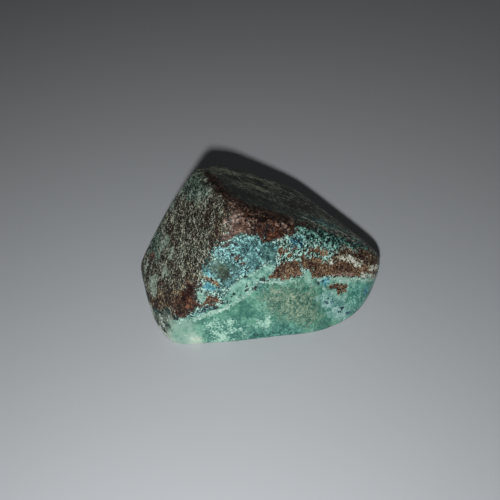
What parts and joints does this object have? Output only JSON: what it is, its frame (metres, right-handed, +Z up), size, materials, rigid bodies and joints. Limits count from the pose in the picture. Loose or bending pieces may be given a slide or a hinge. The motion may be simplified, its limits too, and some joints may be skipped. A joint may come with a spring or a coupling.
{
  "type": "tumbled plancheite pebble",
  "caption": "Tumbled plancheite pebble: a wedge-shaped faceted lump with rounded edges, a low peak at one end and a tapering other end, resting on a flat base.",
  "frame": {"origin": "middle of the pebble's box, on the flat base that it rests on", "axes": "+X along the pebble's length, from the peaked end to the low end; -Y is the bright front face; +Z up from the base"},
  "size_m": [0.0376, 0.0272, 0.0182],
  "materials": {
    "plancheite": "tumbled to a soft sheen; pale and deep green with turquoise, red-brown and olive mineral bands"
  },
  "bodies": {
    "root": {"stone": "plancheite"}
  },
  "joints": []
}
